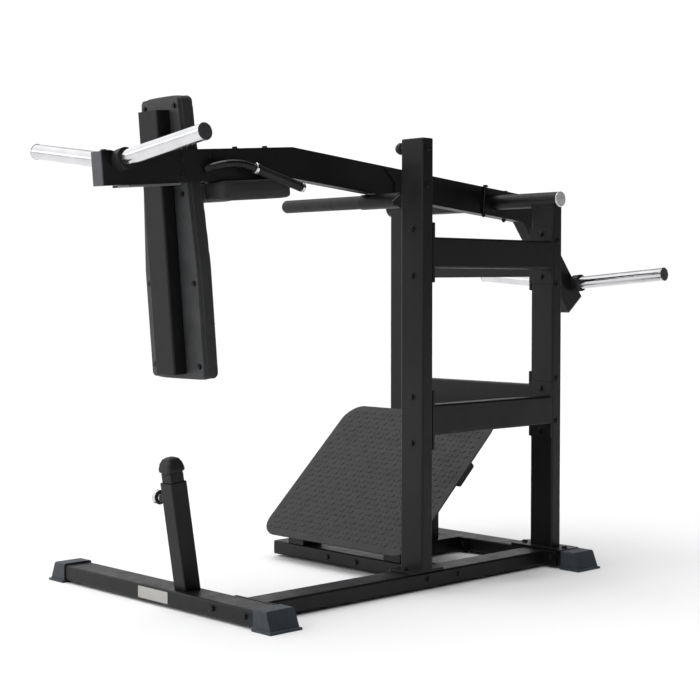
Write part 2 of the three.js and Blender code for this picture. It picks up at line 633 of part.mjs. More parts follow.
// A bent handle beside each shoulder pad: it leaves the arm's side and runs towards the user.
function buildHandles() {
  for (const [side, s] of [['near', -1], ['far', 1]]) {
    const face = s * (Math.abs(ARM_Y[0]) + GAP);
    const route = new THREE.CatmullRomCurve3([
      vector(112, face, 1352), vector(128, s * 190, 1360), vector(160, s * 215, 1369),
      vector(205, s * HANDLE.y, 1371), vector(258, s * HANDLE.y, 1362),
    ]);
    const circle = new THREE.Shape().absarc(0, 0, HANDLE.r, 0, Math.PI * 2, false);
    const bend = new THREE.ExtrudeGeometry(circle, {
      extrudePath: route, steps: 18, bevelEnabled: false, curveSegments: 6,
    });
    const flat = s < 0 ? [face, face + 60] : [face - 60, face];
    const outside = plainBox([0, 300], flat, [1250, 1450]);
    const from = route.getPoint(1);
    const to = vector(453, s * HANDLE.y, 1311);
    const gripLength = from.distanceTo(to);
    const core = new THREE.CylinderGeometry(HANDLE.r, HANDLE.r, gripLength, 12);
    const aim = new THREE.Quaternion();
    aim.setFromUnitVectors(vector(0, 1, 0), to.clone().sub(from).normalize());
    const place = new THREE.Matrix4().compose(from.clone().lerp(to, 0.5), aim, vector(1, 1, 1));
    core.scale(1, 1.01, 1).applyMatrix4(place);
    add(`handle_tube_${side}`, join(subtract(bend, outside), core), 'chrome');
    const outer = new THREE.LatheGeometry([
      [HANDLE.r + GAP, -gripLength / 2 + 14], [HANDLE.gripR + 3, -gripLength / 2 + 14],
      [HANDLE.gripR, -gripLength / 2 + 20], [HANDLE.gripR, gripLength / 2 - 4],
      [HANDLE.r + GAP, gripLength / 2 - 4], [HANDLE.r + GAP, -gripLength / 2 + 14],
    ].map(([r, y]) => new THREE.Vector2(r, y)), 20);
    add(`handle_grip_${side}`, outer.applyMatrix4(place), 'blackRubber');
  }
}

// ---------------------------------------------------------------- release bar under the arm
function buildReleaseBar() {
  const { x, z } = BAR;
  const sleeve = ring(x, z, BAR.rodR + 0.5, BAR.sleeveR, BAR.sleeveY0, BAR.sleeveY1, 28);
  add('release_bar_sleeve', sleeve, 'arm');
  const rodY = [BAR.sleeveY0 - 14, BAR.endY];
  const profile = [
    [0, rodY[0]], [BAR.rodR, rodY[0]], [BAR.rodR, BAR.sleeveY1 + 1], [BAR.gripR, BAR.sleeveY1 + 1],
    [BAR.gripR, rodY[1] - 12], [BAR.gripR - 4, rodY[1] - 4], [BAR.gripR - 12, rodY[1]], [0, rodY[1]],
  ];
  // the latch finger on the rod's near end
  const finger = [
    [x + 16, z + 16], [x - 16, z + 18], [x - 52, z - 6], [x - 46, z - 20], [x - 12, z - 18], [x + 16, z - 10],
  ];
  const latch = sideProfile(finger, rodY[0] + 2, rodY[0] + 10);
  add('release_bar', join(turned(profile, x, z, 28), latch), 'blackRubber');
}

// A plate on the arm's near side, above the bar, that guides the latch.
function buildLatchBracket() {
  const outline = [[876, 1404], [931, 1350], [931, 1304], [1000, 1298], [1018, 1391]];
  add('latch_bracket', sideProfile(outline.reverse(), ARM_Y[0] - GAP - 6, ARM_Y[0] - GAP), 'arm');
}

// ---------------------------------------------------------------- lower stop on the front foot
function buildStop() {
  const frame = new THREE.Group();
  frame.position.set(STOP.x, ARM.y, BASE_TOP);
  frame.rotation.y = -rad(STOP.lean);
  machine.add(frame);
  frame.updateMatrixWorld();
  const local = frame.matrixWorld.clone().invert();
  const half = STOP.outer / 2;
  const floorCut = plainBox([-200, 300], [-400, 100], [-100, BASE_TOP + GAP]).applyMatrix4(local);
  const outer = profileBox([-half, half], [-half, half], [-30, STOP.length], 'z', 5, STOP.wall, 3);
  const mouth = half + PIN.barrelLong;
  const pinHole = rod(0, PIN.along, PIN.shaftR + PIN.slack, 0, mouth + 10, 20);
  const barrel = ring(0, PIN.along, PIN.shaftR + PIN.slack, PIN.barrelR, half - 1, mouth, 20);
  add('stop_post', subtract(join(outer, barrel), floorCut, pinHole), 'frame', frame);

  const top = STOP.length + STOP.exposed;
  const core = STOP.inner / 2;
  const inner = profileBox([-core, core], [-core, core], [STOP.slot, top], 'z', 4, STOP.wall, 3);
  add('stop_inner_tube', inner, 'arm', frame);
  buildStopBumper(frame, top + GAP);

  const tip = half - STOP.wall;
  const pin = [
    [0, tip], [PIN.shaftR, tip], [PIN.shaftR, mouth + 1], [PIN.stemR, mouth + 1], [PIN.stemR, mouth + 7],
    [PIN.knobR, mouth + 10], [PIN.knobR, mouth + 24], [PIN.knobR - 5, mouth + 28], [0, mouth + 28],
  ];
  add('pull_pin', turned(pin, 0, PIN.along, 28), 'chrome', frame);
}

// A square mushroom of rubber: a neck, a wide rim and a rounded top.
function buildStopBumper(frame, base) {
  const rows = [
    [STOP_BUMPER.neck, 0], [STOP_BUMPER.wide, 6], [STOP_BUMPER.wide, 14],
    [STOP_BUMPER.wide - 8, 30], [STOP_BUMPER.wide - 24, 43], [STOP_BUMPER.wide - 42, STOP_BUMPER.high],
  ];
  const sides = 24;
  const place = [];
  const index = [];
  const outline = (width, k) => {
    const angle = (k / sides) * Math.PI * 2;
    const power = 0.45; // below 1 squares the circle
    const c = Math.cos(angle);
    const s = Math.sin(angle);
    return [Math.sign(c) * Math.abs(c) ** power * width / 2, Math.sign(s) * Math.abs(s) ** power * width / 2];
  };
  for (const [width, height] of rows) {
    for (let k = 0; k < sides; k += 1) place.push(...outline(width, k), base + height);
  }
  const last = (rows.length - 1) * sides;
  for (let row = 0; row < rows.length - 1; row += 1) {
    for (let k = 0; k < sides; k += 1) {
      const a = row * sides + k;
      const b = row * sides + ((k + 1) % sides);
      index.push(a, b, b + sides, a, b + sides, a + sides);
    }
  }
  for (let k = 1; k < sides - 1; k += 1) {
    index.push(0, k + 1, k);
    index.push(last, last + k, last + k + 1);
  }
  const geometry = new THREE.BufferGeometry();
  geometry.setAttribute('position', new THREE.Float32BufferAttribute(place, 3));
  geometry.setIndex(index);
  add('stop_bumper', geometry, 'blackRubber', frame);
}

// ---------------------------------------------------------------- the machine
buildBase();
buildUprights();
buildPlatform();
buildPivot();
buildArm();
buildSleeves();
buildBackPad();
buildShoulderFrame();
buildHandles();
buildReleaseBar();
buildLatchBracket();
buildStop();
machine.position.set(-ORIGIN.x, -ORIGIN.y, 0);

export default machine;
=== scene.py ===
"""Looks for the pendulum squat machine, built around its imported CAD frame. Metres, +Z up."""
import json
import math

import bmesh
import bpy
from mathutils import Matrix, Vector
from mathutils.bvhtree import BVHTree


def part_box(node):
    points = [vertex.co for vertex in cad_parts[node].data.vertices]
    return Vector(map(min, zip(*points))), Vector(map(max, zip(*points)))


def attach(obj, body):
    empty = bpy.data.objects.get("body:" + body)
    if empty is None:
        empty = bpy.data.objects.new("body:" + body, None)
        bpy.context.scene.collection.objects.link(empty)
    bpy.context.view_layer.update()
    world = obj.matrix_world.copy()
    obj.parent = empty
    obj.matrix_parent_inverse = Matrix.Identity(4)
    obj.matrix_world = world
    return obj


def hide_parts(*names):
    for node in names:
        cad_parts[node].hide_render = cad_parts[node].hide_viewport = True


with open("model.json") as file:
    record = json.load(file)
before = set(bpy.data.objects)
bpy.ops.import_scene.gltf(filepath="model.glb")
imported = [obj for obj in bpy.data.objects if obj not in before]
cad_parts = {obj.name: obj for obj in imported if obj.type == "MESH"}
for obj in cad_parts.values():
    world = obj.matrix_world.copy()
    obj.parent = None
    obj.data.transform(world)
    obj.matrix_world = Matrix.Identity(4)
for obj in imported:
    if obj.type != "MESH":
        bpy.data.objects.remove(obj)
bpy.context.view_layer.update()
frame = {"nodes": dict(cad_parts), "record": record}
SCENE = bpy.context.scene
MM = 0.001

# The design frame of the CAD: millimetres from the front foot tube, X to the rear, Y to the far side.
FOOT_LOW, FOOT_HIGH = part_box("front_foot_tube")
FOOT_NEAR_Y = -580.0


def at(x, y, z):
    """A point of the design frame, in millimetres, as a point of the row frame in metres."""
    return Vector((FOOT_LOW.x + x * MM, FOOT_LOW.y + (y - FOOT_NEAR_Y) * MM, z * MM))


# ------------------------------------------------------------------ camera and light
def make_camera():
    data = bpy.data.cameras.new("view_camera")
    data.lens = 77.86
    data.sensor_width = 36.0
    data.clip_end = 100.0
    camera = bpy.data.objects.new("view_camera", data)
    camera.location = (-3.6235, -3.8285, 0.985)
    camera.rotation_euler = (math.radians(90 - 2.31), 0.0, math.radians(46.6 - 90))
    SCENE.collection.objects.link(camera)
    SCENE.camera = camera


def area_light(name, place, aim, size, power, shape="DISK"):
    data = bpy.data.lights.new(name, "AREA")
    data.shape = shape
    data.size = size
    data.energy = power
    light = bpy.data.objects.new(name, data)
    light.location = place
    light.rotation_euler = (Vector(aim) - Vector(place)).to_track_quat("-Z", "Y").to_euler()
    SCENE.collection.objects.link(light)


def make_world():
    """A white studio whose wall is darker on the near side, so that near faces stay deep black."""
    world = bpy.data.worlds.new("studio")
    SCENE.world = world
    world.use_nodes = True
    tree = world.node_tree
    tree.nodes.clear()
    out = tree.nodes.new("ShaderNodeOutputWorld")
    back = tree.nodes.new("ShaderNodeBackground")
    coord = tree.nodes.new("ShaderNodeTexCoord")
    dot = tree.nodes.new("ShaderNodeVectorMath")
    dot.operation = "DOT_PRODUCT"
    dot.inputs[1].default_value = (0.66, -0.75, 0.0)
    ramp = tree.nodes.new("ShaderNodeValToRGB")
    ramp.color_ramp.interpolation = "EASE"
    spots = ((0.0, 0.85), (0.36, 1.0), (0.58, 1.0), (0.74, 0.06), (1.0, 0.02))
    while len(ramp.color_ramp.elements) < len(spots):
        ramp.color_ramp.elements.new(0.5)
    for element, (where, level) in zip(ramp.color_ramp.elements, spots):
        element.position = where
        element.color = (level, level, level * 1.01, 1.0)
    shift = tree.nodes.new("ShaderNodeMapRange")
    shift.inputs["From Min"].default_value = -1.0
    shift.inputs["From Max"].default_value = 1.0
    tree.links.new(coord.outputs["Generated"], dot.inputs[0])
    tree.links.new(dot.outputs["Value"], shift.inputs["Value"])
    tree.links.new(shift.outputs["Result"], ramp.inputs["Fac"])
    split = tree.nodes.new("ShaderNodeSeparateXYZ")
    tree.links.new(coord.outputs["Generated"], split.inputs["Vector"])
    height = tree.nodes.new("ShaderNodeValToRGB")
    height.color_ramp.interpolation = "EASE"
    bands = ((0.0, 0.62), (0.21, 0.62), (0.32, 0.20), (0.70, 0.22), (0.86, 1.0))
    while len(height.color_ramp.elements) < len(bands):
        height.color_ramp.elements.new(0.5)
    for element, (where, level) in zip(height.color_ramp.elements, bands):
        element.position = where
        element.color = (level, level, level, 1.0)
    tree.links.new(split.outputs["Z"], height.inputs["Fac"])
    tree.links.new(ramp.outputs["Color"], back.inputs["Color"])
    strength = multiply(tree, height.outputs["Color"], 1.66)
    # a tall softbox on the far side, which the chrome sleeves mirror
    wide = spread(tree, shift.outputs["Result"], 1.0, 0.0, 0.26, 0.36)
    foot = spread(tree, split.outputs["Z"], 0.0, 1.0, 0.05, 0.16)
    crown = spread(tree, split.outputs["Z"], 1.0, 0.0, 0.72, 0.80)
    box = multiply(tree, multiply(tree, wide, foot), multiply(tree, crown, 1.1))
    total = tree.nodes.new("ShaderNodeMath")
    tree.links.new(strength, total.inputs[0])
    tree.links.new(box, total.inputs[1])
    tree.links.new(total.outputs["Value"], back.inputs["Strength"])
    tree.links.new(back.outputs["Background"], out.inputs["Surface"])


def make_sun():
    data = bpy.data.lights.new("overhead_sun", "SUN")
    data.energy = 1.0
    data.angle = math.radians(38)
    sun = bpy.data.objects.new("overhead_sun", data)
    sun.rotation_euler = (math.radians(-16), math.radians(-8), 0.0)
    SCENE.collection.objects.link(sun)


def make_floor():
    mesh = bpy.data.meshes.new("floor")
    side = 30.0
    mesh.from_pydata([(-side, -side, 0), (side, -side, 0), (side, side, 0), (-side, side, 0)], [], [(0, 1, 2, 3)])
    floor = bpy.data.objects.new("floor", mesh)
    SCENE.collection.objects.link(floor)
    mat, tree, shader = new_material("floor_paper")
    shader.inputs["Base Color"].default_value = (0.90, 0.90, 0.90, 1.0)
    shader.inputs["Roughness"].default_value = 0.75
    shader.inputs["Specular IOR Level"].default_value = 0.25
    mesh.materials.append(mat)


# ------------------------------------------------------------------ materials
def new_material(name):
    mat = bpy.data.materials.new(name)
    mat.use_nodes = True
    tree = mat.node_tree
    return mat, tree, tree.nodes["Principled BSDF"]


def noise(tree, scale, detail=2.0, stretch=(1, 1, 1)):
    """The factor of a noise texture in object coordinates, in waves per metre."""
    coord = tree.nodes.new("ShaderNodeTexCoord")
    mapping = tree.nodes.new("ShaderNodeMapping")
    mapping.inputs["Scale"].default_value = stretch
    node = tree.nodes.new("ShaderNodeTexNoise")
    node.inputs["Scale"].default_value = scale
    node.inputs["Detail"].default_value = detail
    tree.links.new(coord.outputs["Object"], mapping.inputs["Vector"])
    tree.links.new(mapping.outputs["Vector"], node.inputs["Vector"])
    return node.outputs["Fac"]


def cells(tree, scale):
    coord = tree.nodes.new("ShaderNodeTexCoord")
    node = tree.nodes.new("ShaderNodeTexVoronoi")
    node.feature = "SMOOTH_F1"
    node.inputs["Scale"].default_value = scale
    node.inputs["Smoothness"].default_value = 0.4
    tree.links.new(coord.outputs["Object"], node.inputs["Vector"])
    return node.outputs["Distance"]


def spread(tree, value, low, high, start=0.3, end=0.7):
    node = tree.nodes.new("ShaderNodeMapRange")
    node.inputs["From Min"].default_value = start
    node.inputs["From Max"].default_value = end
    node.inputs["To Min"].default_value = low
    node.inputs["To Max"].default_value = high
    tree.links.new(value, node.inputs["Value"])
    return node.outputs["Result"]


def blend_color(tree, factor, first, second):
    """Mixes two colours; each is a constant or a socket."""
    node = tree.nodes.new("ShaderNodeMix")
    node.data_type = "RGBA"
    tree.links.new(factor, node.inputs["Factor"])
    for key, value in (("A", first), ("B", second)):
        socket = next(s for s in node.inputs if s.name == key and s.type == "RGBA")
        if isinstance(value, bpy.types.NodeSocket):
            tree.links.new(value, socket)
        else:
            socket.default_value = (*value, 1.0)
    return next(s for s in node.outputs if s.type == "RGBA")


def bump(tree, height, strength, depth, under=None):
    node = tree.nodes.new("ShaderNodeBump")
    node.inputs["Strength"].default_value = strength
    node.inputs["Distance"].default_value = depth
    tree.links.new(height, node.inputs["Height"])
    if under is not None:
        tree.links.new(under, node.inputs["Normal"])
    return node.outputs["Normal"]


def soft_edges(tree, radius):
    """The rounded normal of an edge, and how much of an edge a point is, from 0 to 1."""
    bevel = tree.nodes.new("ShaderNodeBevel")
    bevel.samples = 4
    bevel.inputs["Radius"].default_value = radius
    geometry = tree.nodes.new("ShaderNodeNewGeometry")
    dot = tree.nodes.new("ShaderNodeVectorMath")
    dot.operation = "DOT_PRODUCT"
    tree.links.new(bevel.outputs["Normal"], dot.inputs[0])
    tree.links.new(geometry.outputs["True Normal"], dot.inputs[1])
    edge = spread(tree, dot.outputs["Value"], 1.0, 0.0, 0.80, 0.985)
    return bevel.outputs["Normal"], edge


def multiply(tree, first, second):
    node = tree.nodes.new("ShaderNodeMath")
    node.operation = "MULTIPLY"
    for k, value in enumerate((first, second)):
        if isinstance(value, bpy.types.NodeSocket):
            tree.links.new(value, node.inputs[k])
        else:
            node.inputs[k].default_value = value
    return node.outputs["Value"]


def coated(name, color, rough, grain=1300.0, grain_strength=0.25, wear=(0.10, 0.10, 0.105), wear_amount=0.35, edge=0.0016, shine=0.25):
    """Powder coat: a pebbled skin, cloudy colour and sheen, and edges rubbed a little lighter."""
    mat, tree, shader = new_material(name)
    rounded, on_edge = soft_edges(tree, edge)
    clouds = noise(tree, 5.0, 3.0)
    darker = tuple(c * 0.82 for c in color)
    lighter = tuple(c * 1.22 for c in color)
    body = blend_color(tree, spread(tree, clouds, 0.0, 1.0), darker, lighter)
    rubbed = multiply(tree, on_edge, spread(tree, noise(tree, 60.0, 4.0), 0.15, 1.0, 0.35, 0.65))
    rubbed = multiply(tree, rubbed, wear_amount)
    tree.links.new(blend_color(tree, rubbed, body, wear), shader.inputs["Base Color"])
    tree.links.new(spread(tree, noise(tree, 22.0, 3.0), rough - 0.05, rough + 0.06), shader.inputs["Roughness"])
    tree.links.new(bump(tree, noise(tree, grain), grain_strength, 0.0003, rounded), shader.inputs["Normal"])
    shader.inputs["Specular IOR Level"].default_value = shine
    return mat


def chromed(name, color=(0.70, 0.70, 0.71), rough=0.10, stretch=(1, 1, 1)):
    """Polished plating with faint lengthwise streaks and fine handling marks."""
    mat, tree, shader = new_material(name)
    shader.inputs["Metallic"].default_value = 1.0
    marks = noise(tree, 260.0, 4.0, stretch)
    smears = noise(tree, 16.0, 3.0)
    dull = tuple(c * 0.88 for c in color)
    tree.links.new(blend_color(tree, spread(tree, smears, 0.0, 1.0), dull, color), shader.inputs["Base Color"])
    total = multiply(tree, spread(tree, marks, 0.8, 1.35), spread(tree, smears, rough, rough * 1.7))
    tree.links.new(total, shader.inputs["Roughness"])
    rounded, _ = soft_edges(tree, 0.0008)
    tree.links.new(bump(tree, marks, 0.015, 0.0001, rounded), shader.inputs["Normal"])
    return mat


def rubbery(name, color, rough=0.62, grain=900.0, strength=0.35, sheen=0.0, edge=0.0014):
    mat, tree, shader = new_material(name)
    rounded, on_edge = soft_edges(tree, edge)
    pale = tuple(c * 1.35 + 0.004 for c in color)
    dusty = blend_color(tree, spread(tree, noise(tree, 18.0, 4.0), 0.0, 1.0), color, pale)
    worn = multiply(tree, on_edge, 0.35)
    tree.links.new(blend_color(tree, worn, dusty, tuple(c * 1.9 + 0.01 for c in color)), shader.inputs["Base Color"])
    tree.links.new(spread(tree, noise(tree, 70.0, 2.0), rough - 0.07, rough + 0.08), shader.inputs["Roughness"])
    tree.links.new(bump(tree, noise(tree, grain), strength, 0.0003, rounded), shader.inputs["Normal"])
    shader.inputs["Sheen Weight"].default_value = sheen
    shader.inputs["Specular IOR Level"].default_value = 0.36
    return mat


def upholstery(name):
    """Black vinyl: pebbled leather grain of about 2 mm, with finer creases inside each pebble."""
    mat, tree, shader = new_material(name)
    pebbles = cells(tree, 430.0)
    creases = noise(tree, 1500.0, 3.0)
    broad = noise(tree, 9.0, 3.0)
    base = blend_color(tree, spread(tree, broad, 0.0, 1.0), (0.016, 0.016, 0.0165), (0.028, 0.028, 0.029))
    tops = blend_color(tree, spread(tree, pebbles, 0.45, 0.0, 0.15, 0.75), base, (0.040, 0.040, 0.041))
    tree.links.new(tops, shader.inputs["Base Color"])
    tree.links.new(spread(tree, pebbles, 0.42, 0.62, 0.1, 0.7), shader.inputs["Roughness"])
    shader.inputs["Specular IOR Level"].default_value = 0.3
    first = bump(tree, pebbles, 0.45, -0.0006)
    tree.links.new(bump(tree, creases, 0.15, 0.0002, first), shader.inputs["Normal"])
    return mat


def brushed(name, color, rough=0.38, stretch=(1, 40, 40)):
    mat, tree, shader = new_material(name)
    shader.inputs["Metallic"].default_value = 0.85
    lines = noise(tree, 60.0, 5.0, stretch)
    dark = tuple(c * 0.7 for c in color)
    tree.links.new(blend_color(tree, spread(tree, lines, 0.0, 1.0), dark, color), shader.inputs["Base Color"])
    tree.links.new(spread(tree, lines, rough - 0.1, rough + 0.12), shader.inputs["Roughness"])
    rounded, _ = soft_edges(tree, 0.001)
    tree.links.new(bump(tree, lines, 0.12, 0.0002, rounded), shader.inputs["Normal"])
    return mat


MATERIALS = {
    "powder_coat": coated("powder_coat", (0.0045, 0.0046, 0.0049), 0.40),
    "chrome": chromed("chrome", stretch=(1, 0.03, 1)),
    "tread_plate": coated("tread_plate", (0.0070, 0.0072, 0.0076), 0.50, 900.0, 0.45, (0.10, 0.10, 0.105), 0.4, 0.0009, 0.30),
    "wear_plate": brushed("wear_plate", (0.24, 0.245, 0.25)),
    "foot_rubber": rubbery("foot_rubber", (0.019, 0.0245, 0.032), 0.60, 700.0, 0.3, 0.1),
    "black_rubber": rubbery("black_rubber", (0.0045, 0.0045, 0.005), 0.55),
    "board": rubbery("board", (0.028, 0.029, 0.030), 0.50, 500.0, 0.2),
    "vinyl": upholstery("vinyl"),
}
EXTRA = {
    "bolts": coated("bolt_black_oxide", (0.004, 0.004, 0.0045), 0.34, 500.0, 0.1, (0.12, 0.12, 0.12), 0.4, 0.0007),
    "end_grey": rubbery("end_plug_grey", (0.055, 0.055, 0.060), 0.50),
    "end_dark": rubbery("sleeve_end_dark", (0.030, 0.030, 0.032), 0.50),
    "end_black": rubbery("end_plug_black", (0.008, 0.008, 0.0085), 0.42),
    "polished": chromed("polished_ring"),
    "gloss_black": coated("gloss_black", (0.005, 0.005, 0.0055), 0.24, 300.0, 0.05),
    "machined": brushed("machined_cap", (0.72, 0.72, 0.73), 0.45, (40, 1, 40)),
    "badge": brushed("badge_metal", (0.50, 0.49, 0.47), 0.34),
    "thread": rubbery("seam_thread", (0.02, 0.02, 0.021), 0.7, 2500.0, 0.6, 0.2),
}


def dress_nodes():
    """Gives each CAD node the material of its slot in the record."""
    for part in frame["record"]["subparts"]:
        node = frame["nodes"][part["node"]]
        node.data.materials.clear()
        node.data.materials.append(MATERIALS[part["material_slot"]])
        smooth_round(node)
    for name in ("arm_front_plug", "arm_rear_plug"):
        frame["nodes"][name].data.materials[0] = EXTRA["end_grey"]
    for side in ("near", "far"):
        frame["nodes"]["handle_tube_" + side].data.materials[0] = EXTRA["gloss_black"]
        frame["nodes"]["pivot_cap_" + side].data.materials[0] = EXTRA["machined"]


def smooth_round(obj, limit=32.0):
    """Shades shallow bends smooth and keeps true edges sharp."""
    for polygon in obj.data.polygons:
        polygon.use_smooth = True
    obj.data.set_sharp_from_angle(angle=math.radians(limit))


# ------------------------------------------------------------------ small solid pieces
def frame_matrix(point, out, turn=0.0):
    """A matrix at point whose +Z points along out."""
    quat = Vector(out).normalized().to_track_quat("Z", "X")
    return Matrix.Translation(point) @ quat.to_matrix().to_4x4() @ Matrix.Rotation(turn, 4, "Z")


def revolve(bm, profile, sides, matrix, start=0.0):
    """Adds a closed turned solid. The profile is (radius, height) in metres; its ends reach the axis."""
    rows = []
    for radius, height in profile:
        if radius < 1e-7:
            rows.append([bm.verts.new(matrix @ Vector((0, 0, height)))])
            continue
        row = []
        for k in range(sides):
            a = start + math.tau * k / sides
            row.append(bm.verts.new(matrix @ Vector((radius * math.cos(a), radius * math.sin(a), height))))
        rows.append(row)
    for low, high in zip(rows, rows[1:]):
        for k in range(sides):
            n = (k + 1) % sides
            if len(low) == 1:
                bm.faces.new((low[0], high[n], high[k]))
            elif len(high) == 1:
                bm.faces.new((low[k], low[n], high[0]))
            else:
                bm.faces.new((low[k], low[n], high[n], high[k]))


def finish_mesh(name, bm, body, material, limit=32.0):
    bmesh.ops.recalc_face_normals(bm, faces=bm.faces)
    mesh = bpy.data.meshes.new(name)
    bm.to_mesh(mesh)
    bm.free()
    obj = bpy.data.objects.new(name, mesh)
    SCENE.collection.objects.link(obj)
    mesh.materials.append(material)
    smooth_round(obj, limit)
    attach(obj, body)
    return obj


def add_bolt(bm, point, out, size=12.0, nut=False, turn=0.3):
    """A washer and a chamfered hexagon head, or a nut with the thread's end standing out of it."""
    m = frame_matrix(point, out, turn)
    r = size * MM
    revolve(bm, [(0, 0), (r * 1.02, 0), (r * 1.05, r * 0.06), (r * 1.0, r * 0.16), (0, r * 0.16)], 28, m)
    base = r * 0.16
    top = r * (0.80 if nut else 0.66)
    hexagon = [(0, base), (r * 0.80, base), (r * 0.83, base + r * 0.06), (r * 0.83, top - r * 0.08),
               (r * 0.72, top), (r * 0.45, top), (0, top - (0 if nut else r * 0.04))]
    revolve(bm, hexagon, 6, m)
    if nut:
        stub = [(0, top - r * 0.02), (r * 0.44, top - r * 0.02), (r * 0.44, top + r * 0.28), (r * 0.36, top + r * 0.34), (0, top + r * 0.34)]
        revolve(bm, stub, 16, m)


# the swing arm's centre lines in the design frame
RISE = math.radians(4.56)
DROP = math.radians(5.24)
PIVOT = (1455.0, 1302.0)
BEND = (PIVOT[0] - 993.3 * math.cos(DROP), PIVOT[1] + 993.3 * math.sin(DROP))
ARM_HALF = 50.0
ARM_NEAR_Y, ARM_FAR_Y, ARM_MID_Y = -170.0, -120.0, -145.0


def front_line(x, above):
    """A point above the front section's centre line at x, with the direction out of its top."""
    on = BEND[1] - (BEND[0] - x) * math.tan(RISE)
    return (x - above * math.sin(RISE), on + above * math.cos(RISE)), (-math.sin(RISE), 0, math.cos(RISE))


def middle_line(x, above):
    on = PIVOT[1] - (x - PIVOT[0]) * math.tan(DROP)
    return (x + above * math.sin(DROP), on + above * math.cos(DROP)), (math.sin(DROP), 0, math.cos(DROP))


def frame_bolts():
    bm = bmesh.new()
    # front upright: through its front face into the side beams, and two spare bolts near its top
    for middle in (1104, 556):
        for z in (middle - 76, middle + 76):
            add_bolt(bm, at(768, -416, z), (-1, 0, 0), 11)
            add_bolt(bm, at(826.3, -389, z), (1, 0, 0), 10, True)
            add_bolt(bm, at(1423.7, -416, z), (-1, 0, 0), 11)
            add_bolt(bm, at(1482, -416, z), (1, 0, 0), 10, True)
    for z in (1441, 1323):
        add_bolt(bm, at(790, -464, z), (0, -1, 0), 11)
    # cross beams between the rear posts
    for middle in (1078, 592):
        for z in (middle - 76, middle + 76):
            add_bolt(bm, at(1457, -464, z), (0, -1, 0), 11)
            add_bolt(bm, at(1457, 351, z), (0, 1, 0), 11)
            add_bolt(bm, at(1457, -355.7, z), (0, 1, 0), 10, True)
            add_bolt(bm, at(1457, 242.7, z), (0, -1, 0), 10, True)
    # floor rails: heads on the cross members, nuts on the end plates
    for y in (-490, -338):
        add_bolt(bm, at(0, y, 36), (-1, 0, 0), 11)
        add_bolt(bm, at(108.3, y, 36), (1, 0, 0), 10, True)
        add_bolt(bm, at(1504, y, 36), (1, 0, 0), 11)
        add_bolt(bm, at(1395.7, y, 36), (-1, 0, 0), 10, True)
    for y in (-73, 73):
        add_bolt(bm, at(842, y, 34), (-1, 0, 0), 10)
        add_bolt(bm, at(950.3, y, 34), (1, 0, 0), 10, True)
        add_bolt(bm, at(1395.7, y, 34), (-1, 0, 0), 10, True)
        add_bolt(bm, at(1504, y, 34), (1, 0, 0), 10)
    for x in (798, 946):
        add_bolt(bm, at(x, -464, 35), (0, -1, 0), 10)
    # base plates
    for x in (738, 849):
        add_bolt(bm, at(x, -414, 66.3), (0, 0, 1), 11)
    for y in (-505, -323, 210, 392):
        add_bolt(bm, at(1454, y, 66.3), (0, 0, 1), 11)
    finish_mesh("frame_bolts", bm, "frame", EXTRA["bolts"])


def arm_bolts():
    bm = bmesh.new()
    for x, z in ((24, 1381), (131, 1394), (24, 1330), (135, 1345)):
        add_bolt(bm, at(x, ARM_NEAR_Y, z), (0, -1, 0), 9.5)
        add_bolt(bm, at(x, -ARM_NEAR_Y, z), (0, 1, 0), 9.5)
    for x in (-241, 251, 374):
        (px, pz), up = front_line(x, ARM_HALF)
        add_bolt(bm, at(px, ARM_MID_Y, pz), up, 10)
        if x > 0:
            add_bolt(bm, at(px, -ARM_MID_Y, pz), up, 10)
    for x in (1392, 1540):
        (px, pz), up = middle_line(x, ARM_HALF)
        (qx, qz), _ = middle_line(x, -ARM_HALF)
        down = tuple(-c for c in up)
        if x < 1500:
            add_bolt(bm, at(px, ARM_NEAR_Y - 6, pz), up, 10)
            add_bolt(bm, at(qx, ARM_NEAR_Y - 6, qz), down, 10, True)
            shank = [(0, -0.001), (0.0045, -0.001), (0.0045, 0.102), (0, 0.102)]
            revolve(bm, shank, 16, frame_matrix(at(qx, ARM_NEAR_Y - 5.2, qz), up))
        else:
            add_bolt(bm, at(px, ARM_MID_Y, pz), up, 10)
            add_bolt(bm, at(qx, ARM_MID_Y, qz), down, 10, True)
    finish_mesh("arm_bolts", bm, "arm", EXTRA["bolts"])


def board_bolts():
    """Screws with flanged heads through the back board, one in each corner and two pairs between."""
    bm = bmesh.new()
    lean = RISE
    out = (-math.cos(lean), 0, -math.sin(lean))
    for up_pad, across in ((-388, 116), (-128, 116), (150, 88), (424, 76)):
        for side in (-1, 1):
            x = 47 + 50.2 * math.cos(lean) - up_pad * math.sin(lean)
            z = 1125 + 50.2 * math.sin(lean) + up_pad * math.cos(lean)
            add_bolt(bm, at(x, side * across, z), out, 9)
    finish_mesh("board_screws", bm, "arm", EXTRA["bolts"])


def end_plugs():
    """A moulded plug pressed into the open top of the front upright, and thin discs on the weight sleeves."""
    for name, x0, x1, y0, y1, z in (
        ("front_upright_plug", 768, 818, -464, -364, 1470),
    ):
        rounded_cap(name, at(x0, y0, z), at(x1, y1, z), "frame", EXTRA["end_black"])
    for name, pair in (("front", (-204, 1362, 7.6, 407)), ("rear", sleeve_root())):
        x, z, rise, tip = pair
        for side, s in (("near", -1), ("far", 1)):
            slope = math.radians(rise)
            out = (0, s * math.cos(slope), math.sin(slope))
            root = at(x, ARM_MID_Y + s * 25, z)
            centre = root + Vector(out) * tip * MM
            bm = bmesh.new()
            disc = [(0, -0.0002), (0.0228, -0.0002), (0.0236, 0.0004), (0.0228, 0.0012), (0.0150, 0.0014), (0, 0.0014)]
            revolve(bm, disc, 48, frame_matrix(centre, out))
            finish_mesh(f"{name}_sleeve_end_{side}", bm, "arm", EXTRA["end_dark"])


